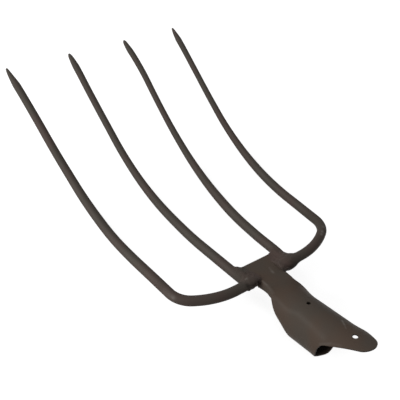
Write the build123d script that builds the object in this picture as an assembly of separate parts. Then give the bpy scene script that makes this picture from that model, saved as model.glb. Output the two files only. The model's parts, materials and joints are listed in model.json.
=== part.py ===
from build123d import *
from math import asin, atan2, cos, degrees, hypot, pi, radians, sin, tan
import os

# Four-tine fork head of round bar and sheet steel, without its handle. Lengths in mm, angles in degrees.
# Head frame: X across, Y from the bow towards the tips, Z up from the plane of the bow, and the origin
# midway between the two outer corners. rest_pose() then lays the head down as it lies on a floor.

# Round bar
rod_dia = 10.0
tip_dia = 7.6           # at the start of the drawn point
point_length = 18.0
point_end_dia = 2.4

# Outer tines, each one bar with its arm of the bow
corner_half_span = 98.0
outer_splay = 3.1
corner_radius = 25.8
corner_turn = 54.4
arm_radius = 80.6
arm_end_x = 19.0
outer_straight = 48.9
outer_belly_radius = 264.0
outer_belly_turn = 32.8
outer_end_length = 134.7

# Inner tines, butted against the arms
inner_half_gap = 26.2
inner_drop = 2.9
inner_dip = 0.6
inner_splay = 3.8
inner_lean = 4.0
inner_straight = 66.2
inner_belly_radius = 278.2
inner_belly_turn = 36.2
inner_end_length = 118.4
butt_depth = 3.0        # how far an inner tine's end reaches under the arm it is coped to

# Head plate and neck
sheet = 2.4
plate_half_width = 23.0
plate_front_y = -12.0
plate_corner_radius = 2.0
notch_gap = 0.4         # between the arms' rear and the front of the necked channel
neck_crown_half = 12.4
neck_crown_radius = 300.0
neck_corner_radius = 2.9
neck_corner_turn = 80.0
neck_skirt = 5.1
neck_skirt_radius = 90.0
neck_length = 11.0
shoulder_length = 33.0  # over which the channel is rolled up into the tube
flare_length = 19.4     # over which crown and corners widen from the neck's girth to the tube's

# Handle socket
tube_dia = 45.0
tube_tilt = 7.7
tube_length = 37.4      # from the shoulder to the sides of the mouth
tube_crown_turn = 53.4  # share of the half tube that the neck's crown widens into
tube_corner_turn = 61.6 # share that its corner widens into
seam_gap = 1.2
mouth_slant = 17.8
tongue_length = 43.8
tongue_end_radius = 10.4
tongue_end_bow = 36.0   # radius the tongue flattens to
tongue_hold = 5.5       # length that keeps the tube's roundness
tongue_flatten = 38.0
tongue_rise = 1.5       # of its tip from the tube's top line
tube_hole_dia = 4.0
tube_hole_from_mouth = 32.7
tongue_hole_dia = 5.0
tongue_hole_from_tip = 19.6

# Weld beads
rear_bead_dia = 7.0
rear_bead_reach = 10.0
rear_bead_stand = 2.6   # how far it stands behind the arm
crotch_fillet = 6.0
crotch_height = 6.0
plate_bead_dia = 4.6
plate_bead_inset = 3.5  # of the bead's axis from the inner tine's
plate_bead_rise = 0.9   # of the bead's axis above the plate's top

rod_r = rod_dia / 2
tube_r = tube_dia / 2


def bar(path):
    # round bar of full diameter along a path
    start = Plane(origin=path @ 0, z_dir=path % 0)
    return sweep(start * Circle(rod_r), path=path)


def drawn_end(length, start_dia):
    # straight end of a tine along +Z: a slow taper, then a blunt point with a rounded nose
    nose = point_end_dia / 2
    point_start = length - point_length
    side = Polyline((0, 0), (start_dia / 2, 0), (tip_dia / 2, point_start), (nose, length - nose))
    cap = RadiusArc((nose, length - nose), (0, length), -nose)
    profile = make_face([*side.edges(), cap, Line((0, length), (0, 0))])
    return revolve(Plane.XZ * profile, Axis.Z)


def curved_tine(start, forward, up, straight, belly_radius, belly_turn, end_length):
    # straight run, belly arc that turns from forward towards up, and the tapered end
    taper = (rod_dia - tip_dia) * radians(belly_turn) * belly_radius
    taper = taper / (radians(belly_turn) * belly_radius + end_length - point_length)
    belly_end_dia = rod_dia - taper
    run_end = start + forward * straight
    side = Plane(origin=run_end, x_dir=forward, z_dir=forward.cross(up))
    belly = side * JernArc(start=(0, 0), tangent=(1, 0), radius=belly_radius, arc_size=belly_turn)
    first = Plane(origin=belly @ 0, z_dir=belly % 0) * Circle(rod_r)
    last = Plane(origin=belly @ 1, z_dir=belly % 1) * Circle(belly_end_dia / 2)
    curve = sweep([first, last], path=belly, multisection=True)
    end = Plane(origin=belly @ 1, z_dir=belly % 1) * drawn_end(end_length, belly_end_dia)
    return [bar(Line(start, run_end)), curve, end]


def outer_tine():
    # the right-hand one: arm, corner bend and tine from one bar
    back = (-sin(radians(outer_splay)), -cos(radians(outer_splay)))
    corner = JernArc(start=(corner_half_span, 0), tangent=back, radius=corner_radius, arc_size=-corner_turn)
    arm_turn = 90 - outer_splay - corner_turn
    arm = JernArc(start=corner @ 1, tangent=corner % 1, radius=arm_radius, arc_size=-arm_turn)
    arm_straight = Line(arm @ 1, (arm_end_x, (arm @ 1).Y))
    forward = Vector(-back[0], -back[1], 0)
    pieces = [bar(corner), bar(arm), bar(arm_straight)]
    pieces += curved_tine(Vector(corner_half_span, 0, 0), forward, Vector(0, 0, 1), outer_straight,
                          outer_belly_radius, outer_belly_turn, outer_end_length)
    return pieces[0].fuse(*pieces[1:]), (arm @ 1).Y


def inner_axes(arm_y):
    # front of the butt joint, the way the right-hand inner tine sets off, and the way its belly turns
    splay, dip, lean = radians(inner_splay), radians(inner_dip), radians(inner_lean)
    forward = Vector(sin(splay) * cos(dip), cos(splay) * cos(dip), -sin(dip))
    across = Vector(cos(splay), -sin(splay), 0)
    up = across.cross(forward) * cos(lean) - across * sin(lean)
    return Vector(inner_half_gap, arm_y + rod_r, -inner_drop), forward, up


def inner_tine(arm, arm_y):
    # the right-hand one, its rear end coped to the arm's round front
    front, forward, up = inner_axes(arm_y)
    pieces = curved_tine(front - forward * butt_depth, forward, up, inner_straight + butt_depth,
                         inner_belly_radius, inner_belly_turn, inner_end_length)
    return pieces[0].fuse(*pieces[1:]) - arm


def channel_section(crown, corner, skirt):
    # face of bent sheet, hung from its top centre: each of the three is a (radius, half length) of arc,
    # mirrored left and right, and the inside keeps the sheet's thickness
    lines = []
    ends = []
    for inset in (0, sheet):
        half = []
        at, tangent = Vector(0, -inset), Vector(1, 0)
        for radius, length in (crown, corner, skirt):
            turn = degrees(length / radius)
            arc = JernArc(start=at, tangent=tangent, radius=radius - inset, arc_size=-turn)
            half.append(arc)
            at, tangent = arc @ 1, arc % 1
        other = [mirror(arc, about=Plane.YZ) for arc in half]
        top = ThreePointArc(other[0] @ 1, Vector(0, -inset), half[0] @ 1)
        lines += [other[2], other[1], top, half[1], half[2]]
        ends.append(at)
    lines.append(Line(ends[0], ends[1]))
    lines.append(Line((-ends[0].X, ends[0].Y), (-ends[1].X, ends[1].Y)))
    return make_face([edge for line in lines for edge in line.edges()])


def band_section(radius, half_length):
    # face of a simply bowed strip, hung from its top centre
    turn = half_length / radius
    corners = []
    arcs = []
    for r in (radius, radius - sheet):
        end = Vector(r * sin(turn), r * cos(turn) - radius)
        arcs.append(ThreePointArc((-end.X, end.Y), (0, r - radius), end))
        corners.append(end)
    right = Line(corners[0], corners[1])
    left = Line((-corners[0].X, corners[0].Y), (-corners[1].X, corners[1].Y))
    return make_face([arcs[0], right, arcs[1], left])


def ease(t):
    # smooth step from 0 to 1
    t = min(max(t, 0), 1)
    return t * t * (3 - 2 * t)


def mix(a, b, t):
    return a + (b - a) * t


def socket(arm_y, rods):
    # one blank: flat head plate, channel neck, shoulder, open-seamed tube and nailing tongue
    neck_y = arm_y - rod_r - notch_gap
    shoulder_y = neck_y - neck_length
    tube_turns = [radians(tube_crown_turn), radians(tube_corner_turn)]
    tube_turns.append(pi - seam_gap / tube_dia - sum(tube_turns))
    climb = tan(radians(tube_tilt)) * shoulder_length

    def section_plane(along):
        # the top line climbs at a slope that eases in along the shoulder;
        # the plane's X is across and its Y is up
        t = along / shoulder_length
        lean = radians(tube_tilt) * ease(t)
        top = Vector(0, shoulder_y - along, climb * (t ** 3 - t ** 4 / 2))
        return Plane(origin=top, x_dir=(1, 0, 0), z_dir=(0, -cos(lean), sin(lean)))

    neck_arcs = ((neck_crown_radius, neck_crown_half),
                 (neck_corner_radius, radians(neck_corner_turn) * neck_corner_radius),
                 (neck_skirt_radius, neck_skirt))
    tube_arcs = [(tube_r, tube_r * turn) for turn in tube_turns]

    def shoulder_section(along):
        # the arcs' curvatures change as the blank is rolled, quickly at first, and their lengths as it
        # widens, the skirts' last, which leaves a V-shaped opening underneath that closes at the tube
        t = along / shoulder_length
        rolled = ease(t ** 0.5)
        widened = ease(along / flare_length)
        shares = (widened, widened, ease(t) ** 2)
        arcs = []
        for (radius, length), (end_radius, end_length), share in zip(neck_arcs, tube_arcs, shares):
            arcs.append((1 / mix(1 / radius, 1 / end_radius, rolled), mix(length, end_length, share)))
        return section_plane(along) * channel_section(*arcs)

    edge_y = arm_y - rod_r / 2
    outline = Polyline((neck_half_width(), neck_y), (neck_half_width(), edge_y), (plate_half_width, edge_y),
                       (plate_half_width, plate_front_y), (-plate_half_width, plate_front_y),
                       (-plate_half_width, edge_y), (-neck_half_width(), edge_y),
                       (-neck_half_width(), neck_y), close=True)
    plate = extrude(make_face(outline), -sheet)
    front = plate.edges().filter_by(Axis.Z).group_by(Axis.Y)[-1]
    plate = fillet(front, plate_corner_radius)

    neck_front = Plane(origin=(0, neck_y, 0), x_dir=(1, 0, 0), z_dir=(0, -1, 0))
    neck = extrude(neck_front * channel_section(*neck_arcs), neck_length)
    shoulder = loft([shoulder_section(shoulder_length * step / 10) for step in range(11)])
    tube_start = section_plane(shoulder_length)
    tube = extrude(tube_start * band_section(tube_r, tube_r * sum(tube_turns)), tube_length)

    # mouth frame: Z out of the mouth along the tube, origin on the top line beside the mouth's sides
    mouth = Plane(origin=tube_start.origin + tube_start.z_dir * tube_length, x_dir=(1, 0, 0),
                  z_dir=tube_start.z_dir)
    tongue = tongue_strip(mouth)
    body = plate.fuse(neck, shoulder, tube, tongue) - mouth * mouth_wedge()
    from_tip = tongue_length - tongue_hole_from_tip
    body -= mouth * nail_hole(tube_hole_dia, -tube_hole_from_mouth)
    body -= mouth * nail_hole(tongue_hole_dia, from_tip)
    for rod in rods:
        body -= rod
    return body, mouth


def neck_half_width():
    # out to the face of the neck's skirts
    turn = radians(neck_corner_turn)
    return neck_crown_half + neck_corner_radius * sin(turn)


def tongue_strip(mouth):
    # the upper half of the tube runs on, loses some roundness, bends up a little and is trimmed to a taper
    # with a round end
    def strip_section(along):
        flat = ease((along - tongue_hold) / tongue_flatten)
        radius = 1 / mix(1 / tube_r, 1 / tongue_end_bow, flat)
        rise = tongue_rise * (along / tongue_length) ** 2
        return mouth * Pos(0, rise, along) * band_section(radius, tube_r * pi / 2)

    stations = [0, tongue_hold]
    stations += [tongue_hold + tongue_flatten * step / 4 for step in range(1, 5)]
    stations.append(tongue_length + tongue_end_radius)
    strip = loft([strip_section(along) for along in stations])
    centre = tongue_length - tongue_end_radius
    reach = hypot(tube_r, centre)
    heading = atan2(centre, -tube_r) - asin(tongue_end_radius / reach)
    side = (reach ** 2 - tongue_end_radius ** 2) ** 0.5
    meet = (tube_r + side * cos(heading), side * sin(heading))
    edge = Line((tube_r, 0), meet)
    tip = ThreePointArc(meet, (0, tongue_length), (-meet[0], meet[1]))
    plan = make_face([edge, tip, mirror(edge, about=Plane.YZ), Line((-tube_r, 0), (tube_r, 0))])
    top_view = Plane(origin=mouth.origin, x_dir=mouth.x_dir, z_dir=-mouth.y_dir)
    return strip & extrude(top_view * plan, tube_dia, both=True)


def mouth_wedge():
    # slants the lower half of the mouth back towards the tines; in the mouth frame
    low = -tube_dia - rod_dia
    run = (low + tube_r) * tan(radians(mouth_slant))
    wedge = make_face(Polyline((-tube_r, 0), (low, run), (low, rod_dia), (-tube_r, rod_dia), close=True))
    side_view = Plane(origin=(0, 0, 0), x_dir=(0, 1, 0), z_dir=(1, 0, 0))
    return extrude(side_view * wedge, tube_dia, both=True)


def nail_hole(diameter, along):
    return Pos(0, 0, along) * Rot(90, 0, 0) * Cylinder(diameter / 2, tube_r, align=(Align.CENTER,) * 3)


def bead(start, end, diameter):
    # run of weld with bevelled ends
    length = (end - start).length + diameter
    run = Cylinder(diameter / 2, length)
    run = chamfer(run.edges().filter_by(GeomType.CIRCLE), diameter / 4)
    return Plane(origin=(start + end) / 2, z_dir=end - start) * run


def weld_rear(arm_y, side):
    # fills the corner between the arm's end, the plate and the neck, and runs out behind the arm
    y = arm_y - rod_r + rear_bead_dia / 2 - rear_bead_stand
    x = neck_half_width() + rear_bead_dia / 2 - sheet / 2
    start = Vector(side * x, y, -sheet / 2)
    return bead(start, start + Vector(side * rear_bead_reach, 0, 0), rear_bead_dia)


def weld_crotch(arm_y, side):
    # hollow fillet between the arm's front and the inner tine's outer side
    x, y = inner_half_gap, arm_y
    reach = rod_r + crotch_fillet
    low = Line((x, y), (x + reach, y))
    right = Line((x + reach, y), (x + reach, y + rod_r))
    hollow = RadiusArc((x + reach, y + rod_r), (x + rod_r, y + reach), crotch_fillet)
    top = Line((x + rod_r, y + reach), (x, y + reach))
    corner = make_face([low, right, hollow, top, Line((x, y + reach), (x, y))])
    fillet_solid = Pos(0, 0, -inner_drop / 2) * extrude(corner, crotch_height / 2, both=True)
    return fillet_solid if side > 0 else mirror(fillet_solid, about=Plane.YZ)


def weld_plate(arm_y, side):
    # bead along the plate's edge, in the corner with the inner tine
    front, forward, up = inner_axes(arm_y)
    start = Vector(side * (front.X - plate_bead_inset), front.Y, plate_bead_rise)
    length = plate_front_y - front.Y - plate_corner_radius
    return bead(start, start + Vector(side * forward.X, forward.Y, 0) * length, plate_bead_dia)


def rest_pose(arm_y, mouth):
    # lays the head on the inner bellies and on the tube's heel or lip, whichever hangs lower, with the
    # origin on the handle's axis where the mouth is first round
    front, forward, up = inner_axes(arm_y)
    belly = front + forward * inner_straight + up * inner_belly_radius
    belly_reach = inner_belly_radius * cos(radians(inner_lean)) + rod_r
    bottom = mouth.origin - mouth.y_dir * tube_dia
    slant = mouth.z_dir * (tube_r * tan(radians(mouth_slant)))
    pitches = []
    for point in (bottom - slant, bottom - mouth.z_dir * tube_length):
        rise = belly - point
        pitches.append(atan2(rise.Z, rise.Y) - asin(belly_reach / hypot(rise.Y, rise.Z)))
    origin = mouth.origin - slant - mouth.y_dir * tube_r
    return Rot(-degrees(max(pitches)), 0, 0) * Pos(-origin)


def fork_head():
    outer, arm_y = outer_tine()
    inner = inner_tine(outer, arm_y)
    nodes = {"outer_tine_right": outer, "inner_tine_right": inner,
             "outer_tine_left": mirror(outer, about=Plane.YZ), "inner_tine_left": mirror(inner, about=Plane.YZ)}
    body, mouth = socket(arm_y, nodes.values())
    for name, side in (("right", 1), ("left", -1)):
        steel = [body, nodes["outer_tine_" + name], nodes["inner_tine_" + name]]
        nodes["weld_rear_" + name] = weld_rear(arm_y, side).cut(*steel)
        nodes["weld_crotch_" + name] = weld_crotch(arm_y, side).cut(*steel)
        nodes["weld_plate_" + name] = weld_plate(arm_y, side).cut(*steel)
    nodes["socket"] = body
    pose = rest_pose(arm_y, mouth)
    return {name: pose * piece for name, piece in nodes.items()}


os.makedirs("parts", exist_ok=True)
for node, piece in fork_head().items():
    piece.label = node
    export_step(piece, f"parts/{node}.step")
    print(node, round(piece.volume), "mm3")
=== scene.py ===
import json
import bmesh
import bpy
import numpy as np
from mathutils import Matrix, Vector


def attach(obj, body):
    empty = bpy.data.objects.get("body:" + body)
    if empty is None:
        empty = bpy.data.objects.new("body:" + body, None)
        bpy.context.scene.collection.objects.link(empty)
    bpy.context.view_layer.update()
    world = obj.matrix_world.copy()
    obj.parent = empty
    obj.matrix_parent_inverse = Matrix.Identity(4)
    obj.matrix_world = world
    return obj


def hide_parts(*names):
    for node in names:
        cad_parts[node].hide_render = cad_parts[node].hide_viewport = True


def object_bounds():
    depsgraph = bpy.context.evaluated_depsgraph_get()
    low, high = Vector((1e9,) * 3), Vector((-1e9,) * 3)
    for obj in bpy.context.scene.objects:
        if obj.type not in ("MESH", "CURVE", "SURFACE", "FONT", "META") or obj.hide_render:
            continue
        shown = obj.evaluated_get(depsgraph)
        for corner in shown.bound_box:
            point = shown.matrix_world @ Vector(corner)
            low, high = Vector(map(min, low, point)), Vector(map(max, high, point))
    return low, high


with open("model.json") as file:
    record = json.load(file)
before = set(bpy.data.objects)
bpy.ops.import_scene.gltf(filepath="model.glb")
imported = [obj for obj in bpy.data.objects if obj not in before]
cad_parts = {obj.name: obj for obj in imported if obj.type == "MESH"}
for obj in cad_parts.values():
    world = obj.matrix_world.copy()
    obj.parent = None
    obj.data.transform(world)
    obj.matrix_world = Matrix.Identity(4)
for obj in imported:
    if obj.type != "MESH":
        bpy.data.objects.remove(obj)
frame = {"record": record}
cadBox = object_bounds()
print("frame loaded")

# The shapes below are worked out in millimetres in the head frame: X across, Y from the bow to the tips,
# Z up from the plane of the bow, origin midway between the outer corners. toRow() lays it down as packed.
millimetre = 0.001
head = dict(
    barRadius=5.0,
    sheet=2.4,
    plateHalf=23.0,
    plateFront=-12.0,
    shoulderStart=49.4,
    shoulderLength=33.0,
    tubeLength=37.4,
    tubeRadius=22.5,
    tubeTilt=7.7,
    mouthSlant=17.8,
    # points closer than this are one
    sameSpot=0.002,
)


def ease(t):
    # smooth step: 3 t squared less 2 t cubed, held at 0 and 1 outside
    t = np.clip(t, 0, 1)
    return t * t * (3 - 2 * t)


def mix(a, b, t):
    # a at 0, b at 1
    return a + (b - a) * t


def unit(v):
    # each vector over its own length
    return v / np.linalg.norm(v, axis=-1, keepdims=True)


def bump(x, centre, width):
    # bell curve: e to the minus square of the distance over the width
    return np.exp(-((x - centre) / width) ** 2)


def spot(points, centre, radius):
    # bell curve round a place in space
    return bump(np.linalg.norm(points - centre, axis=-1), 0, radius)


def topLine(u):
    # the socket's top line at distance u behind the corners: level to the shoulder, then a slope that eases
    # in, so its height is the integral of the smooth step, and then the straight top of the tube
    tilt = np.radians(head["tubeTilt"])
    t = np.clip((u - head["shoulderStart"]) / head["shoulderLength"], 0, 1)
    tubeStart = head["shoulderStart"] + head["shoulderLength"]
    past = np.clip(u - tubeStart, 0, None)
    y = -np.minimum(u, tubeStart) - past * np.cos(tilt)
    z = np.tan(tilt) * head["shoulderLength"] * (t ** 3 - t ** 4 / 2) + past * np.sin(tilt)
    return y, z, tilt * ease(t)


def mouthAt():
    # how far behind the corners the sides of the mouth are
    return head["shoulderStart"] + head["shoulderLength"] + head["tubeLength"]


def mouthReach(angle):
    # how far the slanted mouth reaches past its sides, at an angle from the tube's top
    return head["tubeRadius"] * np.tan(np.radians(head["mouthSlant"])) * np.cos(angle)


def headPose():
    # turn and shift from the head frame to the row's, whose origin and tilt are those of the handle's mount
    mount = [m for m in frame["record"]["mounts"] if m["name"] == "handle_socket"][0]
    tilt = np.radians(head["tubeTilt"])
    pitch = np.arcsin(mount["axis"][2]) - tilt
    turn = np.array(Matrix.Rotation(-pitch, 3, "X"))
    y, z, lean = topLine(mouthAt() - mouthReach(0))
    centre = np.array([0, y - head["tubeRadius"] * np.sin(lean), z - head["tubeRadius"] * np.cos(lean)])
    return turn, centre


turnToRow, headOrigin = headPose()


def toRow(points):
    # shifted, turned, and in metres
    return (np.asarray(points, float) - headOrigin) @ turnToRow.T * millimetre


def addPiece(name, points, faces, material, nodes, shade, wearAndHighlight, merge=False):
    # points in the head frame; faces is a list of index arrays, one for each size of face; for each point,
    # shade scales the paint's colour with painted shade and painted light, and the second attribute is the
    # share of it that is lightened, by real wear and by painted highlights
    mesh = bpy.data.meshes.new(name)
    mesh.from_pydata(toRow(points), [], [f for group in faces for f in group.tolist()])
    for layer, values in (("shade", shade), ("wearAndHighlight", wearAndHighlight)):
        mesh.attributes.new(layer, "FLOAT", "POINT").data.foreach_set("value", values)
    piece = bpy.data.objects.new(name, mesh)
    bpy.context.scene.collection.objects.link(piece)
    form = bmesh.new()
    form.from_mesh(mesh)
    if merge:
        bmesh.ops.remove_doubles(form, verts=form.verts, dist=head["sameSpot"] * millimetre)
    bmesh.ops.recalc_face_normals(form, faces=form.faces)
    form.to_mesh(mesh)
    form.free()
    mesh.polygons.foreach_set("use_smooth", np.ones(len(mesh.polygons), bool))
    mesh.materials.append(material)
    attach(piece, "root")
    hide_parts(*nodes)
    print(name, len(mesh.polygons), "faces")


def gridFaces(rows, columns, first=0, wrap=False):
    # quads of a grid of points stored row by row
    i, j = np.meshgrid(np.arange(rows - 1), np.arange(columns if wrap else columns - 1), indexing="ij")
    k = (j + 1) % columns
    quads = np.stack([i * columns + j, i * columns + k, (i + 1) * columns + k, (i + 1) * columns + j], -1)
    return first + quads.reshape(-1, 4)


# satin paint on steel, which every piece has in tints of its own
paint = dict(
    specular=0.035,
    # lighter colour that real wear and painted highlights mix in
    wearAndHighlight=(0.16, 0.145, 0.13),
    # noises as (scale, detail), and the stretch of each that is used
    tintNoise=(38.0, 1.0),
    tintStretch=(0.38, 0.62),
    sheenNoise=(120.0, 3.0),
    sheenStretch=(0.3, 0.7),
    # how far the roughness falls and rises with it
    sheenSpread=(-0.05, 0.06),
    # relief, with its depth in metres
    grainNoise=(2600.0, 2.0),
    grainDepth=0.0001,
    lumpNoise=(260.0, 2.0),
    lumpDepth=0.001,
)
finishes = dict(
    barPaint=dict(warm=(0.065, 0.0482, 0.0418), cool=(0.0585, 0.0505, 0.0426), roughness=0.5, grain=0.2,
                  lumps=0.1),
    sheetPaint=dict(warm=(0.0712, 0.0518, 0.0402), cool=(0.0652, 0.0532, 0.0436), roughness=0.5, grain=0.2,
                    lumps=0.1),
    weldPaint=dict(warm=(0.0695, 0.05, 0.0432), cool=(0.0613, 0.0512, 0.0435), roughness=0.45, grain=0.3,
                   lumps=0.25),
)


def noiseNode(nodes, links, place, noise):
    # noise is (scale, detail)
    node = nodes.new("ShaderNodeTexNoise")
    node.inputs["Scale"].default_value, node.inputs["Detail"].default_value = noise
    links.new(place, node.inputs["Vector"])
    return node.outputs["Fac"]


def rangeNode(nodes, links, value, stretch, result):
    # the stretch of the value becomes the stretch of the result, and is held at its ends
    node = nodes.new("ShaderNodeMapRange")
    for socket, number in zip(node.inputs[1:5], (*stretch, *result)):
        socket.default_value = number
    links.new(value, node.inputs[0])
    return node.outputs[0]


def mixNode(nodes, links, share, first, second):
    # the first colour at a share of 0, and the second, a fixed one, at 1
    node = nodes.new("ShaderNodeMix")
    node.data_type = "RGBA"
    links.new(share, node.inputs["Factor"])
    if isinstance(first, tuple):
        node.inputs["A"].default_value = (*first, 1)
    else:
        links.new(first, node.inputs["A"])
    node.inputs["B"].default_value = (*second, 1)
    return node.outputs["Result"]


def attributeNode(nodes, name):
    node = nodes.new("ShaderNodeAttribute")
    node.attribute_name = name
    return node.outputs["Fac"]


def bumpNode(nodes, links, height, strength, depth):
    node = nodes.new("ShaderNodeBump")
    node.inputs["Strength"].default_value = strength
    node.inputs["Distance"].default_value = depth
    links.new(height, node.inputs["Height"])
    return node


def paintMaterial(name, warm, cool, roughness, grain, lumps):
    # two slow tints, darkened by painted shade and lightened by real wear and painted highlights, under a
    # fine grain and slow unevenness
    material = bpy.data.materials.new(name)
    material.use_nodes = True
    nodes, links = material.node_tree.nodes, material.node_tree.links
    shader = nodes["Principled BSDF"]
    place = nodes.new("ShaderNodeTexCoord").outputs["Object"]
    tint = noiseNode(nodes, links, place, paint["tintNoise"])
    tint = rangeNode(nodes, links, tint, paint["tintStretch"], (0, 1))
    shaded = nodes.new("ShaderNodeVectorMath")
    shaded.operation = "SCALE"
    links.new(mixNode(nodes, links, tint, warm, cool), shaded.inputs[0])
    links.new(attributeNode(nodes, "shade"), shaded.inputs["Scale"])
    lightenedColour = mixNode(nodes, links, attributeNode(nodes, "wearAndHighlight"), shaded.outputs["Vector"], paint["wearAndHighlight"])
    links.new(lightenedColour, shader.inputs["Base Color"])
    sheen = noiseNode(nodes, links, place, paint["sheenNoise"])
    spread = [roughness + change for change in paint["sheenSpread"]]
    links.new(rangeNode(nodes, links, sheen, paint["sheenStretch"], spread), shader.inputs["Roughness"])
    height = noiseNode(nodes, links, place, paint["grainNoise"])
    fine = bumpNode(nodes, links, height, grain, paint["grainDepth"])
    height = noiseNode(nodes, links, place, paint["lumpNoise"])
    slow = bumpNode(nodes, links, height, lumps, paint["lumpDepth"])
    links.new(fine.outputs["Normal"], slow.inputs["Normal"])
    links.new(slow.outputs["Normal"], shader.inputs["Normal"])
    shader.inputs["Specular IOR Level"].default_value = paint["specular"]
    return material


paints = {name: paintMaterial(name, **finish) for name, finish in finishes.items()}
print("finishes done")

# Round bars: each outer tine with its arm of the bow, and the inner tines that butt against the arms

outerBar = dict(
    halfSpan=98.0,
    splay=3.1,
    cornerRadius=25.8,
    cornerTurn=54.4,
    armRadius=80.6,
    armEnd=dict(right=14.5, left=20.4),
    straight=48.9,
    bellyRadius=264.0,
    bellyTurn=32.8,
    endLength=134.7,
)
innerBar = dict(
    halfGap=26.2,
    drop=2.9,
    dip=0.6,
    splay=3.8,
    lean=4.0,
    straight=66.2,
    bellyRadius=278.2,
    bellyTurn=36.2,
    endLength=118.4,
    buried=4.0,
)
# arms are pressed a little flat at both ends, as (place along the bar, width, share)
armSquash = [(-92, 22, 0.12), (-94, 12, 0.38), (-8, 16, 0.04)]
# each tine is drawn by hand: its diameters, where the drawing down starts and ends, the length, fullness and
# nose of its point, the small wanders of its line as (place along the tine, width, across, up), and its spots
# of painted shade and of painted glints as (x, y, z, radius, share), x outwards
tines = dict(
    outer_tine_left=dict(
        base=10.4, slim=8.8, start=60, end=320, point=23, full=0.75, nose=2.6, squash=armSquash,
        wander=[(-80, 26, 0.0, -1.0), (98, 34, 0.75, 0.0), (186, 20, -0.5, 0.0), (275, 40, -0.45, 0.0),
                (328, 14, 0.5, 0.0)],
        # painted shade in the hollow by the weld and under the arm's end, and painted glints on the corner
        # bend
        paintedShadeSpots=[(31.6, -36.4, 1.8, 2.5, 0.6), (25.0, -38.0, -1.0, 5.0, 0.35)],
        paintedGlints=[(100.3, -9.2, 3.2, 2.2, 0.55), (101.8, -5.0, 3.2, 3.5, 0.2), (102.8, 1.5, 3.1, 5.0, 0.16)],
    ),
    outer_tine_right=dict(
        base=10.4, slim=7.5, start=50, end=245, point=17, full=0.7, nose=2.4, squash=armSquash,
        wander=[(-80, 26, 0.0, -0.3), (160, 40, 0.0, 0.2), (225, 55, -0.8, 0.0), (330, 20, -0.5, 0.0)],
        # painted shade under the arm's end by the weld, and painted glints on the corner bend
        paintedShadeSpots=[(26.0, -38.0, -1.0, 6.0, 0.3)],
        paintedGlints=[(91.2, -17.6, 5.0, 1.5, 0.6), (84.4, -22.6, 5.1, 1.5, 0.9), (80.6, -25.4, 4.9, 1.5, 0.9)],
    ),
    inner_tine_left=dict(
        base=10.4, slim=8.1, start=75, end=270, point=17, full=0.55, nose=3.2, squash=[],
        wander=[(8, 26, 0.6, 0.0), (106, 42, -1.0, 0.0), (215, 60, -0.25, 0.0), (336, 22, -0.5, 0.0)],
        paintedShadeSpots=[], paintedGlints=[],
    ),
    inner_tine_right=dict(
        base=10.5, slim=7.5, start=85, end=265, point=15, full=0.52, nose=3.2, squash=[],
        wander=[(8, 26, 0.6, 0.0), (18, 18, 0.9, 0.0), (80, 45, -0.9, 0.0), (150, 60, -0.7, 0.0),
                (255, 25, -0.4, 0.0), (310, 18, 0.5, 0.0), (362, 22, -2.6, 0.0)],
        paintedShadeSpots=[], paintedGlints=[],
    ),
)
# painted highlight along each tine: angle from its top towards the left, width, share, the stretch over
# which it comes in, the place by which some of it is lost, and the unevenness, as a share and two lengths
paintedHighlight = dict(
    place=46.0,
    width=30.0,
    strength=0.18,
    start=2.0,
    fade=30.0,
    end=300.0,
    loss=0.4,
    patch=0.2,
    patchLengths=(8.3, 21.0),
)
barMesh = dict(
    step=1.6,
    columns=40,
    # rows over the nose, and the share of its length that they fill and that other rows keep clear of
    noseRows=7,
    noseShare=1.2,
    noseClear=1.3,
    # unevenness of the round as (share, length, lobes)
    uneven=[(0.006, 17.0, 2), (0.004, 7.3, -3)],
)


def runArcs(start, heading, bend, pieces):
    # each piece is (length, radius): at distance s along it the point is the start, plus r sin(s / r) along
    # the heading, plus r (1 - cos(s / r)) along the bend, and a radius of 0 is a straight
    points, headings = [], []
    for length, radius in pieces:
        s = np.linspace(0, length, max(int(length / barMesh["step"]), 2) + 1)[:, None]
        turn = s / radius if radius else s * 0
        ahead = radius * np.sin(turn) if radius else s
        points.append((start + ahead * heading + radius * (1 - np.cos(turn)) * bend)[:-1])
        headings.append((np.cos(turn) * heading + np.sin(turn) * bend)[:-1])
        end = turn[-1]
        start = start + ahead[-1] * heading + radius * (1 - np.cos(end)) * bend
        heading, bend = np.cos(end) * heading + np.sin(end) * bend, np.cos(end) * bend - np.sin(end) * heading
    return np.vstack(points + [start]), np.vstack(headings + [heading])


def outerLine(sideName):
    # right-hand arm from its inner end, corner bend and tine, as arcs in a row; also which point the tine
    # starts at, and the arm's y
    d = outerBar
    splay, corner = np.radians(d["splay"]), np.radians(d["cornerTurn"])
    sweep = np.pi / 2 - splay - corner
    back, inward = np.array([-np.sin(splay), -np.cos(splay), 0]), np.array([-np.cos(splay), np.sin(splay), 0])
    corners = np.array([d["halfSpan"], 0, 0])
    bow = [(d["cornerRadius"] * corner, d["cornerRadius"]), (d["armRadius"] * sweep, d["armRadius"])]
    bowEnd = runArcs(corners, back, inward, bow)[0][-1]
    bow.append((bowEnd[0] - d["armEnd"][sideName], 0))
    points, headings = runArcs(corners, back, inward, bow)
    up = np.array([0, 0, 1.0])
    belly = d["bellyRadius"] * np.radians(d["bellyTurn"])
    pieces = [(d["straight"], 0), (belly, d["bellyRadius"]), (d["endLength"], 0)]
    tine, ahead = runArcs(corners, -back, up, pieces)
    behind = len(points) - 1
    return np.vstack([points[::-1], tine[1:]]), np.vstack([-headings[::-1], ahead[1:]]), behind, points[-1][1]


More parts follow.
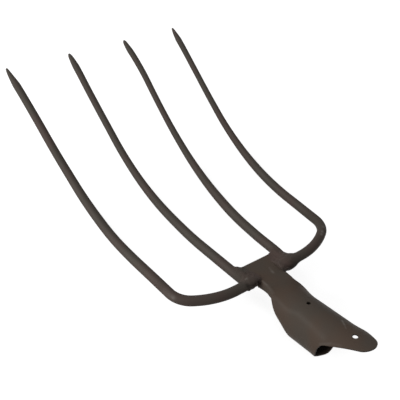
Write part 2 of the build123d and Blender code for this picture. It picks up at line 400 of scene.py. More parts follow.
def innerLine(armY):
    # right-hand inner tine from inside the arm, as arcs in a row; also which point leaves the arm
    d = innerBar
    splay, dip, lean = np.radians([d["splay"], d["dip"], d["lean"]])
    forward = np.array([np.sin(splay) * np.cos(dip), np.cos(splay) * np.cos(dip), -np.sin(dip)])
    across = np.array([np.cos(splay), -np.sin(splay), 0])
    up = np.cross(across, forward) * np.cos(lean) - across * np.sin(lean)
    front = np.array([d["halfGap"], armY + head["barRadius"], -d["drop"]])
    belly = d["bellyRadius"] * np.radians(d["bellyTurn"])
    pieces = [(d["straight"] + d["buried"], 0), (belly, d["bellyRadius"]), (d["endLength"], 0)]
    points, headings = runArcs(front - forward * d["buried"], forward, up, pieces)
    return points, headings, int(d["buried"] / barMesh["step"])


def runLength(points):
    # distance along a line at each of its points
    return np.r_[0, np.cumsum(np.linalg.norm(np.diff(points, axis=0), axis=1))]


def wanderedLine(points, headings, behind, form):
    # the line with its small wanders, its sideways and upward directions, the distance along it, and the
    # share by which it is flattened
    across = unit(np.cross(headings, [0, 0, 1.0]))
    up = np.cross(across, headings)
    along = runLength(points)
    along = along - along[behind]
    for place, width, sideways, lift in form["wander"]:
        points = points + bump(along, place, width)[:, None] * (sideways * across + lift * up)
    flat = sum((share * bump(along, place, width) for place, width, share in form["squash"]), along * 0)
    return points, across, up, along, flat


def barGrid(points, headings, behind, form):
    # a circle carried along the line: point plus radius times (cos a across plus sin a up); the radius eases
    # from the bar's to the drawn one, and over the point falls to the nose, which closes as a quarter circle
    points, across, up, along, flat = wanderedLine(points, headings, behind, form)
    left = np.clip(along[-1] - along, 0, None)
    drawn = ease((along - form["start"]) / (form["end"] - form["start"]))
    radius = mix(form["base"], form["slim"], drawn) / 2
    nose = form["nose"] / 2
    taper = np.clip((left - nose) / form["point"], 0, 1) ** form["full"]
    radius = mix(nose, radius, taper) * np.sqrt(np.clip(1 - (1 - np.clip(left / nose, 0, 1)) ** 2, 0, 1))
    a = np.linspace(0, 2 * np.pi, barMesh["columns"], endpoint=False)
    uneven = 1
    for share, length, lobes in barMesh["uneven"]:
        uneven = uneven + share * np.sin(along[:, None] / length + lobes * a)
    wide, high = (1 + flat / 2)[:, None] * np.cos(a), (1 - flat)[:, None] * np.sin(a)
    ring = across[:, None] * wide[..., None] + up[:, None] * high[..., None]
    return points[:, None] + (radius[:, None] * uneven)[..., None] * ring, along


def nosePoints(points, headings, form):
    # closer rows over the nose, so that it is round
    nose = form["nose"] / 2
    extra = np.linspace(0, nose * barMesh["noseShare"], barMesh["noseRows"])[::-1]
    along = runLength(points)
    keep = along < along[-1] - nose * barMesh["noseClear"]
    tail = points[-1] - extra[:, None] * headings[-1]
    ahead = np.tile(headings[-1], (len(extra), 1))
    return np.vstack([points[keep], tail]), np.vstack([headings[keep], ahead])


def highlightShare(along, side):
    # the painted highlight lies on the same side of every tine, and comes and goes a little: its strength
    # times its course along the tine times a bell curve of the angle away from its place
    d = paintedHighlight
    angle = np.arange(barMesh["columns"]) * 360 / barMesh["columns"]
    away = (angle - 90 - side * d["place"] + 180) % 360 - 180
    course = ease((along - d["start"]) / d["fade"]) * (1 - d["loss"] * ease(along / d["end"]))
    first, second = d["patchLengths"]
    course = course * (1 + d["patch"] * np.sin(along / first) * np.sin(along / second))
    return d["strength"] * course[:, None] * bump(away, 0, d["width"])


def addBar(node, line, side):
    # rings of points, and one more point at each end that a fan of triangles closes
    points, headings, behind = line
    form = tines[node]
    points, headings = nosePoints(points, headings, form)
    grid, along = barGrid(points, headings, behind, form)
    grid = grid * [side, 1, 1]
    rows, columns = grid.shape[:2]
    points = np.vstack([grid.reshape(-1, 3), grid[0].mean(0), grid[-1].mean(0)])
    shade = np.ones(len(points))
    # painted shade by the welds
    for x, y, z, radius, share in form["paintedShadeSpots"]:
        shade = shade * (1 - share * spot(points, [side * x, y, z], radius))
    # painted highlight along the tine lightens the paint
    wearAndHighlight = np.r_[highlightShare(along, side).reshape(-1), 0, 0]
    # painted glints on the corner bends
    for x, y, z, radius, share in form["paintedGlints"]:
        wearAndHighlight = wearAndHighlight + share * spot(points, [side * x, y, z], radius)
    first, last = rows * columns, rows * columns + 1
    ring = np.arange(columns)
    ends = [np.stack([ring + start, (ring + 1) % columns + start, np.full(columns, centre)], -1)
            for start, centre in ((0, first), (first - columns, last))]
    kind, sideName = node.split("_tine_")
    faces = [gridFaces(rows, columns, wrap=True), *ends]
    addPiece(kind + "Tine" + sideName.capitalize(), points, faces, paints["barPaint"], [node],
             shade, wearAndHighlight, merge=True)


*outerRight, armY = outerLine("right")
outerLines = dict(right=outerRight, left=outerLine("left")[:3])
inner = innerLine(armY)
for sideName, side in (("right", 1), ("left", -1)):
    addBar("outer_tine_" + sideName, outerLines[sideName], side)
    addBar("inner_tine_" + sideName, inner, side)
print("bars done")

# Socket: one bent sheet, from the head plate through the neck and the shoulder to the tube and the tongue
socketForm = dict(
    edgeRound=0.4,
    frontCorner=2.0,
    ledgeStart=34.0,
    ledgeLength=1.6,
    notchHalf=15.9,
    skirtStart=35.3,
    skirtLength=1.2,
    foldStart=34.4,
    foldLength=2.4,
    # the skirts hang deeper at their front, as (place, width, depth)
    drop=(35.0, 7.0, 1.9),
    crownHalf=12.8,
    crownRadius=300.0,
    cornerRadius=2.9,
    cornerTurn=80.0,
    skirt=5.1,
    skirtRadius=90.0,
    flareLength=19.4,
    tubeTurns=(53.4, 61.6),
    seamGap=0.3,
    tongueLength=44.6,
    tongueEndRadius=10.9,
    tongueBulge=1.0,
    # where the tongue's waist is deepest, and how deep
    tongueWaist=(6.0, 0.9),
    tongueEndBow=36.0,
    tongueHold=5.5,
    tongueFlatten=38.0,
    tongueRise=1.5,
    # how far the tube leans sideways and upwards, and the stretch over which it comes to that
    lean=(0.3, 0.1),
    leanStart=45.0,
    leanLength=60.0,
    # as (distance before the mouth, place across, radius)
    holes=[(32.7, 0.0, 2.0), (-24.2, -0.7, 2.5)],
    # small dents as (girth, distance, width, length, depth)
    dents=[(3.4, 30.0, 1.0, 2.6, 0.16), (2.6, 33.6, 1.1, 1.3, 0.3)],
    # slope of the front edge, and the stretch over which it fades out behind it
    frontSkew=0.022,
    skewEnd=30.0,
    skewLength=18.0,
    # how far past the mouth's edge the lip stands, as (angle from the top, width, reach)
    lips=[(177.0, 15.0, 1.5), (152.0, 8.0, -0.4), (222.0, 24.0, -1.2)],
    # the sheet is hammered thinner at the mouth and over the tongue
    mouthSheet=0.6,
    # how far before the mouth lip and thickness start to change, and over what length
    mouthBlend=(16.0, 10.0),
    # the tube's left side spreads a little at the mouth, over the same kind of stretch
    mouthSpread=0.5,
    spreadBlend=(14.0, 10.0),
)
socketMesh = dict(
    rows=300,
    columns=96,
    # rows over which the distances down the middle are averaged, and the power of the bow towards the edges
    centreBlend=61,
    bow=3,
    # points of the outline's front corner, sides, mouth and taper, tongue's end and rounded edge
    cornerPoints=9,
    sidePoints=900,
    mouthPoints=120,
    endPoints=80,
    edgePoints=4,
    # square that a hole is cut from, in radii, and the rings round the hole
    holeReach=1.9,
    holeRings=7,
)
# painted shade, painted light and painted highlights on the sheet's paint, and one real scratch
sheetLightShadeAndWear = dict(
    # the depth at which the inner side starts, over what depth it changes, and how dark its painted shade is
    innerFrom=0.05,
    innerOver=0.3,
    inner=0.3,
    # painted light on the inner side of the lip underneath, as (angle, width, how far in, fade, shade)
    lip=(178.0, 30.0, 3.4, 3.0, 1.4),
    # painted highlights and one real scratch, as strokes: (girth, distance) of both ends, width and share
    highlightAndScratchStrokes=[
        # painted highlights on the fold and the dent of the neck
        (3.9, 28.0, 2.6, 33.0, 1.1, 0.18), (2.6, 33.0, 2.5, 35.5, 1.3, 0.4),
        (-13.8, 38.5, -13.8, 45.0, 0.9, 0.3), (-13.8, 45.0, -14.8, 56.0, 1.2, 0.12),
        # scratch beside the tongue
        (6.9, 122.2, 5.5, 124.2, 0.9, 0.75), (5.5, 124.2, 3.4, 128.0, 0.8, 0.6),
        (3.4, 128.0, 0.6, 132.2, 0.6, 0.3),
        # painted highlight along the shoulder and the left side of the tube
        (-17.0, 60.0, -18.4, 76.5, 2.2, 0.13), (-18.4, 76.5, -15.5, 87.4, 2.2, 0.13),
        (-15.5, 87.4, -17.1, 106.6, 2.6, 0.13), (-17.1, 106.6, -18.8, 122.0, 3.0, 0.1),
        # painted highlight along the edge of the mouth
        (-25.5, 122.3, -19.3, 131.3, 1.2, 0.18), (-19.3, 131.3, -15.7, 140.6, 1.0, 0.1),
    ],
)


def bendRun(length, curvature, heading):
    # chord of an arc of that length: length times sin(h) / h for h half its turn, along the mean heading
    half = curvature * length / 2
    chord = length * np.sinc(half / np.pi)
    return chord * np.cos(heading + half), -chord * np.sin(heading + half), heading + 2 * half


def sectionBends(u):
    # curvature and length of the sheet's crown, corners and skirts at distance u behind the corners
    d = socketForm
    ends = [np.radians(turn) * head["tubeRadius"] for turn in d["tubeTurns"]]
    ends.append(np.pi * head["tubeRadius"] - d["seamGap"] / 2 - sum(ends))
    past = u - head["shoulderStart"]
    folded = ease((u - d["foldStart"]) / d["foldLength"])
    rolled = ease(np.sqrt(np.clip(past / head["shoulderLength"], 0, 1)))
    widened = ease(past / d["flareLength"])
    closed = ease(past / head["shoulderLength"]) ** 2
    flat = ease((u - mouthAt() - d["tongueHold"]) / d["tongueFlatten"])
    tube = 1 / head["tubeRadius"]
    tongue = mix(tube, 1 / d["tongueEndBow"], flat)
    necks = [(d["crownRadius"], d["crownHalf"]),
             (d["cornerRadius"], np.radians(d["cornerTurn"]) * d["cornerRadius"]),
             (d["skirtRadius"], d["skirt"])]
    shares = (widened, widened, closed)
    drops = (0, 0, d["drop"][2] * bump(u, *d["drop"][:2]))
    return [(mix(folded / radius, tongue, rolled), mix(length + drop, end, share))
            for (radius, length), end, share, drop in zip(necks, ends, shares, drops)]


def nearMouth(u, blend):
    # smooth step from 0 to 1 towards the mouth, as (how far before it, over what length)
    before, length = blend
    return ease((u - mouthAt() + before) / length)


def girthAngle(s):
    # degrees round the tube from its top, clockwise as seen from the mouth
    return np.degrees(s / head["tubeRadius"]) % 360


def sheetPoint(s, u, depth):
    # a point of the sheet at girth s from its middle line, distance u behind the corners and that depth under
    # its outside: three arcs in a row, in a section square to the top line
    d = socketForm
    for place, width, reach in d["lips"]:
        u = u + reach * bump(girthAngle(s), place, width) * nearMouth(u, d["mouthBlend"])
    (crownBend, crown), (cornerBend, corner), (skirtBend, skirt) = sectionBends(u)
    a = np.abs(s)
    depth = depth * mix(1, d["mouthSheet"], nearMouth(u, d["mouthBlend"]))
    x, z, heading = bendRun(np.minimum(a, crown), crownBend, 0)
    for start, length, bend in ((crown, corner, cornerBend), (crown + corner, np.inf, skirtBend)):
        dx, dz, heading = bendRun(np.clip(a - start, 0, length), bend, heading)
        x, z = x + dx, z + dz
    for place, at, width, reach, deep in d["dents"]:
        depth = depth + deep * bump(s, place, width) * bump(u, at, reach)
    x, z = x - depth * np.sin(heading), z - depth * np.cos(heading)
    y0, z0, lean = topLine(u)
    sideways, lift = d["lean"]
    bent = ease((u - d["leanStart"]) / d["leanLength"])
    x = np.sign(s) * x + sideways * bent
    leftward = np.clip(-x / head["tubeRadius"], 0, 1) ** 3
    x = x - d["mouthSpread"] * leftward * nearMouth(u, d["spreadBlend"])
    y0 = y0 - d["frontSkew"] * x * ease((d["skewEnd"] - u) / d["skewLength"])
    # the tongue rises with the square of the distance along it
    out = np.clip((u - mouthAt()) / d["tongueLength"], 0, None) ** 2
    z = z + lift * bent + d["tongueRise"] * out
    return np.stack([x, y0 + z * np.sin(lean), z0 + z * np.cos(lean)], -1)


def tongueEdge():
    # the tongue's right-hand side in plan, as (across, along) from the mouth's side: a straight taper that
    # touches the round end, with a shallow bulge, less a waist that is the square of t times e to the (1 - t)
    d = socketForm
    radius, end = head["tubeRadius"], d["tongueEndRadius"]
    centre = d["tongueLength"] - end
    reach = np.hypot(radius, centre)
    turn = np.arctan2(centre, -radius) - np.arcsin(end / reach)
    side = np.sqrt(reach ** 2 - end ** 2)
    meet = np.arctan2(side * np.sin(turn) - centre, radius + side * np.cos(turn))
    run = np.linspace(0, side, socketMesh["mouthPoints"])[1:]
    a = np.linspace(meet, np.pi / 2, socketMesh["endPoints"])[1:]
    across = np.r_[radius + run * np.cos(turn), end * np.cos(a)]
    along = np.r_[run * np.sin(turn), centre + end * np.sin(a)]
    place, depth = d["tongueWaist"]
    t = along / place
    across = across + d["tongueBulge"] * np.sin(np.pi * along / d["tongueLength"])
    return across - depth * (t * np.exp(1 - t)) ** 2, along


def blankEdge():
    # right-hand edge of the flat blank as (girth, distance), evenly spaced from the front corner to the
    # tongue's tip
    d = socketForm
    c, half, front = d["frontCorner"], head["plateHalf"], -head["plateFront"]
    t = np.linspace(0, np.pi / 2, socketMesh["cornerPoints"])
    pieces = [np.stack([half - c + c * np.sin(t), front + c - c * np.cos(t)], -1)]
    radius = head["tubeRadius"]
    bottom = (np.pi * radius - d["seamGap"] / 2) / radius
    u = np.linspace(front + c, mouthAt() + mouthReach(bottom), socketMesh["sidePoints"])[1:]
    s = mix(half, d["notchHalf"], ease((u - d["ledgeStart"]) / d["ledgeLength"]))
    full = sum(length for bend, length in sectionBends(u))
    s = mix(s, full, ease((u - d["skirtStart"]) / d["skirtLength"]))
    pieces.append(np.stack([s, u], -1))
    a = np.linspace(bottom, np.pi / 2, socketMesh["mouthPoints"])[1:]
    pieces.append(np.stack([radius * a, mouthAt() + mouthReach(a)], -1))
    across, along = tongueEdge()
    along = along + mouthAt()
    bend = sectionBends(along)[0][0]
    pieces.append(np.stack([np.arcsin(np.clip(bend * across, 0, 1)) / bend, along], -1))
    edge = np.vstack(pieces)
    length = runLength(edge)
    even = np.linspace(0, length[-1], socketMesh["rows"])
    return np.stack([np.interp(even, length, edge[:, 0]), np.interp(even, length, edge[:, 1])], -1)


def innerShare(deep):
    # 0 on the outer side and 1 on the inner
    return ease((deep - sheetLightShadeAndWear["innerFrom"]) / sheetLightShadeAndWear["innerOver"])


def sheetShade(s, u, deep):
    # painted shade on the inner side and over the cut edges, except for painted light on the inner side of
    # the lip underneath
    place, width, inward, fade, shade = sheetLightShadeAndWear["lip"]
    angle = girthAngle(s)
    lip = mouthAt() + mouthReach(np.radians(angle))
    lipLight = bump(angle, place, width) * ease((u - lip + inward) / fade)
    return mix(1, mix(sheetLightShadeAndWear["inner"], shade, lipLight), innerShare(deep))


def highlightAndScratchShare(s, u, deep):
    # share by which the outer side is lightened by painted highlights and one real scratch: bell curves of
    # the distance from straight strokes
    lightened = np.zeros(np.shape(u))
    for s0, u0, s1, u1, width, share in sheetLightShadeAndWear["highlightAndScratchStrokes"]:
        reach = np.array([s1 - s0, u1 - u0])
        along = np.clip(((s - s0) * reach[0] + (u - u0) * reach[1]) / (reach @ reach), 0, 1)
        away = np.hypot(s - s0 - along * reach[0], u - u0 - along * reach[1])
        lightened = np.maximum(lightened, share * (1 - innerShare(deep)) * bump(away, 0, width))
    return lightened


def blankGrid(inset):
    # rows of points across the blank as (girth, distance): they run from edge to edge, and bow so that they
    # are evenly spaced down the middle, where their distance is a running mean of the edge's
    r = np.linspace(-1, 1, socketMesh["columns"] + 1)
    blend = socketMesh["centreBlend"]
    half = blend // 2
    first, last = inset[0, 1], inset[-1, 1]
    ends = [2 * first - inset[half:0:-1, 1], inset[:, 1], 2 * last - inset[-2:-half - 2:-1, 1]]
    centreU = np.convolve(np.concatenate(ends), np.full(blend, 1 / blend), "valid")
    u = centreU[:, None] + (inset[:, 1] - centreU)[:, None] * np.abs(r) ** socketMesh["bow"]
    return inset[:, :1] * r, u, centreU


def roundedEdge():
    # section of the sheet's rounded edge as (back from the edge, depth): two quarter circles
    t = np.linspace(0, np.pi / 2, socketMesh["edgePoints"])
    e, thick = socketForm["edgeRound"], head["sheet"]
    return np.vstack([np.stack([e * (1 - np.sin(t)), e * (1 - np.cos(t))], -1),
                      np.stack([e * (1 - np.cos(t)), thick - e * (1 - np.sin(t))], -1)])


def holeRings(s, u, centreU, hole):
    # the block of the grid that is cut out for a hole, and rings as (points, depth) from the block's border
    # in to the hole's rounded edge, through it, and back out on the inner side
    back, aside, radius = hole
    centre = mouthAt() - back
    reach = radius * socketMesh["holeReach"]
    middle = int(np.argmin(np.abs(centreU - centre)))
    inside = np.flatnonzero(np.abs(centreU - centre) < reach)
    near = np.flatnonzero(np.abs(s[middle] - aside) < reach)
    i0, i1, j0, j1 = inside[0], inside[-1], near[0], near[-1]
    i = np.r_[np.full(j1 - j0, i0), np.arange(i0, i1), np.full(j1 - j0, i1), np.arange(i1, i0, -1)]
    j = np.r_[np.arange(j0, j1), np.full(i1 - i0, j1), np.arange(j1, j0, -1), np.full(i1 - i0, j0)]
    border = np.stack([s[i, j], u[i, j]], -1)
    way = unit(border - [aside, centre])
    rim = [aside, centre] + way * (radius + socketForm["edgeRound"])
    steps = np.linspace(0, 1, socketMesh["holeRings"])
    rings = [(mix(rim, border, w), 0.0) for w in steps[::-1]]
    rings += [([aside, centre] + way * (radius + b), deep) for b, deep in roundedEdge()[1:-1]]
    rings += [(mix(rim, border, w), head["sheet"]) for w in steps]
    return (slice(i0, i1), slice(j0, j1)), rings


def addSocket():
    # both sides of the sheet, the holes' walls and the rounded edge, merged where they meet
    edge = blankEdge()
    slope = unit(np.gradient(edge, axis=0))
    outward = np.stack([slope[:, 1], -slope[:, 0]], -1)
    outward[0], outward[-1] = (0, -1), (0, 1)
    inset = edge - socketForm["edgeRound"] * outward
    inset[-1, 0] = 0
    s, u, centreU = blankGrid(inset)
    rows, columns = s.shape
    # every patch is (girths, distances, depth) of its points, and its faces
    patches, faces, count = [], [], 0
    cut = np.zeros((rows - 1, columns - 1), bool)
    for hole in socketForm["holes"]:
        block, rings = holeRings(s, u, centreU, hole)
        cut[block] = True
        patches += [(ring[:, 0], ring[:, 1], deep) for ring, deep in rings]
        around = len(rings[0][0])
        faces.append(gridFaces(len(rings), around, count, wrap=True))
        count += len(rings) * around
    for deep in (0.0, head["sheet"]):
        patches.append((s.reshape(-1), u.reshape(-1), deep))
        faces.append(gridFaces(rows, columns, count)[~cut.reshape(-1)])
        count += rows * columns
    # the edge runs back up the left side, along the front, and down the right side to the tip
    front = np.stack([s[0, 1:-1], u[0, 1:-1]], -1)
    loop = np.vstack([inset[::-1] * [-1, 1], front, inset])
    normals = np.vstack([outward[::-1] * [-1, 1], np.tile([0, -1.0], (len(front), 1)), outward])
    profile = roundedEdge()
    for back, deep in profile:
        ring = loop + normals * (socketForm["edgeRound"] - back)
        ring[[0, -1], 0] = 0
        patches.append((ring[:, 0], ring[:, 1], deep))
    faces.append(gridFaces(len(profile), len(loop), count))
    points, shade, wearAndHighlight = [np.concatenate([make(*patch) for patch in patches])
                           for make in (sheetPoint, sheetShade, highlightAndScratchShare)]
    addPiece("socketSheet", points, faces, paints["sheetPaint"], ["socket"], shade, wearAndHighlight,
             merge=True)


addSocket()
print("socket done")

# Weld metal: one skin on each side, over the joint of arm, inner tine, head plate and neck
weldForm = dict(
    # spacing of the grid of distances, its corners, and the steps that the skin stays clear of them
    step=0.55,
    low=(11.0, -46.0, -12.0),
    high=(46.0, 0.0, 9.0),
    clear=(2, 3),
    # how far the skin lies under the steel where there is no bead
    under=0.06,
    armEnd=14.5,
    plateRear=-34.6,
    neckHalf=12.4,
    neckRound=2.85,
    # the rear end, underside and upper side of the neck's block
    neckRear=-60.0,
    neckUnder=-6.0,
    neckTop=-0.3,
    # how many points of each bar's line are followed, and how many steps between them make one straight piece
    armReach=(31, 3),
    tineReach=(36, 7),
    plateBlend=9.0,
    lumpBlend=1.8,
    pitBlend=1.0,
    # the beads are uneven by this height times two waves in radians per mm: (x, y, slow y, shift) and
    # (y, z, slow x, shift)
    ripple=0.1,
    waves=((0.9, 0.7, 0.5, 1.0), (1.1, -0.6, 0.6, 0.0)),
    # painted shade on the lower rear side: the shade left, and behind which y and under which z it comes in,
    # over the fade
    paintedUnderShade=(0.5, -34.5, 3.5, 4.0),
    # painted shade in and round a pit: the share of shade that is lost, with the reach of that in radii
    pitShade=(0.75, 1.25),
    # painted shade in the gap: the shade that is left, and how far round it
    gapShade=(0.3, 1.2),
    # lumps and pits as (x, y, z, radius), x outwards, and painted glints on spatter as (x, y, z, radius)
    right=dict(crotch=14.0, neckBlend=5.0, gap=None, pits=[], paintedGlints=[], lumps=[(19.0, -36.8, -2.0, 2.2)]),
    left=dict(
        crotch=6.5, neckBlend=2.5,
        # the block that is cut out, as two corners, and how softly
        gap=((17.0, -60.0, -12.0), (18.8, -37.4, 1.0), 1.4),
        pits=[(19.4, -39.0, -2.4, 1.5), (20.4, -39.4, -4.4, 1.7)],
        lumps=[(24.6, -34.9, 0.6, 2.5), (23.6, -35.6, -1.2, 2.4), (27.0, -35.6, 0.0, 2.4),
               (30.6, -37.2, -2.6, 2.0), (18.4, -35.4, -4.4, 2.5), (27.6, -29.8, 2.5, 0.9),
               (35.4, -30.6, 1.2, 0.9)],
        paintedGlints=[(27.6, -29.8, 3.2, 1.1), (35.4, -30.6, 1.9, 1.1)],
    ),
)


def smoothJoin(a, b, width):
    # smaller of the two distances, less a parabola of the share by which they differ by under the width
    share = np.clip(1 - np.abs(a - b) / width, 0, 1)
    return np.minimum(a, b) - share ** 2 * width / 4


def barDistance(p, line, form, reach):
    # distance to the nearest of a chain of straight round pieces along the bar's line
    points, *rest, flat = wanderedLine(*line, form)
    stop, step = reach
    points, radii = points[:stop:step], head["barRadius"] * (1 - flat[:stop:step])
    nearest = np.full(p.shape[:-1], np.inf)
    for start, end, first, last in zip(points[:-1], points[1:], radii[:-1], radii[1:]):
        way = end - start
        share = np.clip((p - start) @ way / (way @ way), 0, 1)
        away = np.linalg.norm(p - start - share[..., None] * way, axis=-1) - mix(first, last, share)
        nearest = np.minimum(nearest, away)
    return nearest


def boxDistance(p, low, high):
    # distance from a block: the length of what lies past its faces, or less the nearest face's depth inside
    q = np.maximum(np.asarray(low) - p, p - np.asarray(high))
    return np.linalg.norm(np.maximum(q, 0), axis=-1) + np.minimum(q.max(-1), 0)


def ballDistance(p, centre, radius):
    # distance from the centre less the radius
    return np.linalg.norm(p - centre, axis=-1) - radius


def weldDistance(p, sideName):
    # distance to the steel round the joint, with the pieces joined smoothly and the beads added
    d, own = weldForm, weldForm[sideName]
    arm = barDistance(p, outerLines[sideName], tines["outer_tine_" + sideName], d["armReach"])
    arm = np.maximum(arm, d["armEnd"] - p[..., 0])
    tine = barDistance(p, inner, tines["inner_tine_" + sideName], d["tineReach"])
    plate = boxDistance(p, (0, d["plateRear"], -head["sheet"]), (head["plateHalf"], head["plateFront"], 0))
    rounding = d["neckRound"]
    corner = (d["neckHalf"], d["plateRear"] - rounding, d["neckTop"] - rounding)
    neck = boxDistance(p, (0, d["neckRear"], d["neckUnder"]), corner) - rounding
    field = smoothJoin(arm, tine, own["crotch"])
    field = smoothJoin(field, plate, d["plateBlend"])
    field = smoothJoin(field, neck, own["neckBlend"])
    for *centre, radius in own["lumps"]:
        field = smoothJoin(field, ballDistance(p, centre, radius), d["lumpBlend"])
    # what is cut away is joined to the outside
    for *centre, radius in own["pits"]:
        field = -smoothJoin(-field, ballDistance(p, centre, radius), d["pitBlend"])
    if own["gap"]:
        low, high, blend = own["gap"]
        field = -smoothJoin(-field, boxDistance(p, low, high), blend)
    steel = np.minimum(np.minimum(arm, tine), np.minimum(plate, neck))
    proud = np.clip(steel - field, 0, 1)
    return field - d["ripple"] * rippleAt(p) * proud + d["under"]


def rippleAt(p):
    # two sine waves along slanted ways, each shifted by the sine of a slower one
    x, y, z = np.moveaxis(p, -1, 0)
    waves = zip((x, y), (y, z), (y, x), weldForm["waves"])
    return sum(np.sin(a * first + b * second + np.sin(c * slow + shift))
               for first, second, slow, (a, b, c, shift) in waves)


def cellPoints(field):
    # for each cell that the surface crosses, the mean of its crossings of the cell's twelve edges, in cells;
    # also which cells those are
    total = np.zeros([n - 1 for n in field.shape] + [3])
    hits = np.zeros([n - 1 for n in field.shape])
    corner = np.stack(np.meshgrid(*[np.arange(n - 1) for n in field.shape], indexing="ij"), -1)
    for axis in range(3):
        others = [i for i in range(3) if i != axis]
        for a, b in ((0, 0), (0, 1), (1, 0), (1, 1)):
            offset = np.zeros(3, int)
            offset[others] = a, b
            ahead = offset.copy()
            ahead[axis] = 1
            first, second = [field[tuple(slice(o, n - 1 + o) for o, n in zip(start, field.shape))]
                             for start in (offset, ahead)]
            crossed = (first < 0) != (second < 0)
            share = np.where(crossed, first / np.where(crossed, first - second, 1), 0)
            place = corner + offset + share[..., None] * (ahead - offset)
            total += place * crossed[..., None]
            hits += crossed
    active = hits > 0
    return total[active] / hits[active][:, None], active


def surfaceNet(field, low, step):
    # one point in each cell that the surface crosses, and one quad round each grid edge that it crosses
    places, active = cellPoints(field)
    index = np.full(active.shape, -1)
    index[active] = np.arange(active.sum())
    inside = field < 0
    quads = []
    for axis in range(3):
        others = [i for i in range(3) if i != axis]
        near = [slice(1, n - 1) for n in field.shape]
        near[axis] = slice(0, field.shape[axis] - 1)
        far = list(near)
        far[axis] = slice(1, field.shape[axis])
        edges = np.argwhere(inside[tuple(near)] != inside[tuple(far)])
        quad = []
        for shift in ((0, 0), (1, 0), (1, 1), (0, 1)):
            cell = edges.copy()
            cell[:, others] += shift
            quad.append(index[tuple(cell.T)])
        quads.append(np.stack(quad, -1))
    return low + step * places, np.vstack(quads)


def weldShade(points, sideName):
    # painted shade: along the lower rear side and in the gap as smooth steps, and in spots and pits as bell
    # curves
    d, own = weldForm, weldForm[sideName]
    share, rear, top, fade = d["paintedUnderShade"]
    y, z = points.T[1:]
    shade = mix(1.0, share, ease((rear - y) / fade) * ease((top - z) / fade))
    for *centre, radius, dark in tines["outer_tine_" + sideName]["paintedShadeSpots"]:
        shade = shade * (1 - dark * spot(points, centre, radius))
    dark, reach = d["pitShade"]
    for *centre, radius in own["pits"]:
        shade = shade * (1 - dark * spot(points, centre, radius * reach))
    if own["gap"]:
        left, reach = d["gapShade"]
        low, high = own["gap"][:2]
        shade = shade * mix(1, left, ease(1 - boxDistance(points, low, high) / reach))
    return shade


def addWeld(sideName, side):
    # worked out with x outwards, and mirrored for the left side
    d = weldForm
    low, high = np.array(d["low"]), np.array(d["high"])
    axes = [np.arange(a, b, d["step"]) for a, b in zip(low, high)]
    p = np.stack(np.meshgrid(*axes, indexing="ij"), -1)
    field = weldDistance(p, sideName)
    first, last = d["clear"]
    field = np.maximum(field, boxDistance(p, low + first * d["step"], high - last * d["step"]))
    points, quads = surfaceNet(field, low, d["step"])
    shade = weldShade(points, sideName)
    wearAndHighlight = np.zeros(len(points))
    # painted glints on the spatter
    for *centre, radius in d[sideName]["paintedGlints"]:
        wearAndHighlight = wearAndHighlight + spot(points, centre, radius)
    nodes = [kind + sideName for kind in ("weld_rear_", "weld_crotch_", "weld_plate_")]
    addPiece("weld" + sideName.capitalize(), points * [side, 1, 1], [quads], paints["weldPaint"],
             nodes, shade, wearAndHighlight)


for sideName, side in (("right", 1), ("left", -1)):
    addWeld(sideName, side)
print("welds done")

# Stage: a pale floor that shows white, a white world, two round lamps and the camera
stage = dict(
    # side of the floor in metres
    floorSize=6.0,
    floorColour=(0.45, 0.45, 0.45),
    floorRoughness=0.9,
    floorSpecular=0.1,
    # what is added where the floor is seen, and the world's strength where it isn't seen but lights
    floorGlow=0.8,
    world=0.45,
)


def seenDirectly(nodes, links):
    # 1 for rays from the camera, also by way of a reflection or glass
    path = nodes.new("ShaderNodeLightPath")
    value = path.outputs["Is Camera Ray"]
    for name in ("Is Glossy Ray", "Is Transmission Ray"):
        larger = nodes.new("ShaderNodeMath")
        larger.operation = "MAXIMUM"
        links.new(value, larger.inputs[0])
        links.new(path.outputs[name], larger.inputs[1])
        value = larger.outputs[0]
    return value


def addStage():
    # square floor under the lowest point
    low = cadBox[0][2]
    half = stage["floorSize"] / 2
    mesh = bpy.data.meshes.new("floor")
    corners = np.array([[-half, -half, low], [half, -half, low], [half, half, low], [-half, half, low]])
    mesh.from_pydata(corners, [], [(0, 1, 2, 3)])
    floor = bpy.data.objects.new("floor", mesh)
    bpy.context.scene.collection.objects.link(floor)
    material = bpy.data.materials.new("floorWhite")
    material.use_nodes = True
    nodes, links = material.node_tree.nodes, material.node_tree.links
    shader = nodes["Principled BSDF"]
    shader.inputs["Base Color"].default_value = (*stage["floorColour"], 1)
    shader.inputs["Roughness"].default_value = stage["floorRoughness"]
    shader.inputs["Specular IOR Level"].default_value = stage["floorSpecular"]
    glow = nodes.new("ShaderNodeMath")
    glow.operation = "MULTIPLY"
    glow.inputs[1].default_value = stage["floorGlow"]
    links.new(seenDirectly(nodes, links), glow.inputs[0])
    shader.inputs["Emission Color"].default_value = (1, 1, 1, 1)
    links.new(glow.outputs[0], shader.inputs["Emission Strength"])
    mesh.materials.append(material)


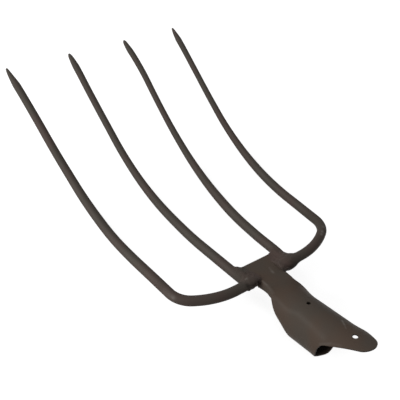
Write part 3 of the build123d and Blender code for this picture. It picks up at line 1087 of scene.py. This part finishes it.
def addWorld():
    # white where it is seen, and dimmer where it lights
    world = bpy.data.worlds.new("studio")
    bpy.context.scene.world = world
    world.use_nodes = True
    nodes, links = world.node_tree.nodes, world.node_tree.links
    background = nodes["Background"]
    background.inputs["Color"].default_value = (1, 1, 1, 1)
    strength = nodes.new("ShaderNodeMapRange")
    strength.inputs["To Min"].default_value = stage["world"]
    strength.inputs["To Max"].default_value = 1.0
    links.new(seenDirectly(nodes, links), strength.inputs["Value"])
    links.new(strength.outputs["Result"], background.inputs["Strength"])


# lamps by place and diameter in the head frame, all turned to one spot
lamps = dict(
    key=dict(place=(-940, 90, 420), size=500, power=6.2),
    far=dict(place=(-470, 820, 760), size=260, power=2.2),
)
lampAim = (0, 100, 0)


def addLamp(name, place, size, power):
    # a lamp shines along its own -Z, so Z points back from what it is aimed at
    data = bpy.data.lights.new(name, "AREA")
    data.shape = "DISK"
    data.size = size * millimetre
    data.energy = power
    lamp = bpy.data.objects.new(name, data)
    bpy.context.scene.collection.objects.link(lamp)
    back = unit(toRow(place) - toRow(lampAim))
    right = unit(np.cross([0, 0, 1.0], back))
    turn = np.stack([right, np.cross(back, right), back], -1)
    lamp.matrix_world = Matrix.Translation(toRow(place)) @ Matrix(turn.tolist()).to_4x4()


# camera: lens in millimetres, place in the head frame, angles in degrees, and shift in widths of the picture
camera = dict(
    lens=54.0,
    place=(-324.1, -330.3, 416.8),
    azimuth=-38.09,
    elevation=37.32,
    roll=2.34,
    shift=(-0.00125, 0.00125),
)


def addCamera():
    # looks back along a direction at that azimuth and elevation of the head frame, rolled about it
    a, e, r = np.radians([camera["azimuth"], camera["elevation"], camera["roll"]])
    back = np.array([np.sin(a) * np.cos(e), -np.cos(a) * np.cos(e), np.sin(e)])
    level = np.array([np.cos(a), np.sin(a), 0])
    rise = np.cross(back, level)
    right, up = np.cos(r) * level + np.sin(r) * rise, np.cos(r) * rise - np.sin(r) * level
    turn = turnToRow @ np.stack([right, up, back], -1)
    data = bpy.data.cameras.new("camera")
    data.lens = camera["lens"]
    data.shift_x, data.shift_y = camera["shift"]
    eye = bpy.data.objects.new("camera", data)
    bpy.context.scene.collection.objects.link(eye)
    eye.matrix_world = Matrix.Translation(toRow(camera["place"])) @ Matrix(turn.tolist()).to_4x4()
    bpy.context.scene.camera = eye


addStage()
addWorld()
for name, lamp in lamps.items():
    addLamp(name, **lamp)
addCamera()
bpy.context.scene.view_settings.view_transform = "Standard"
print("stage done")
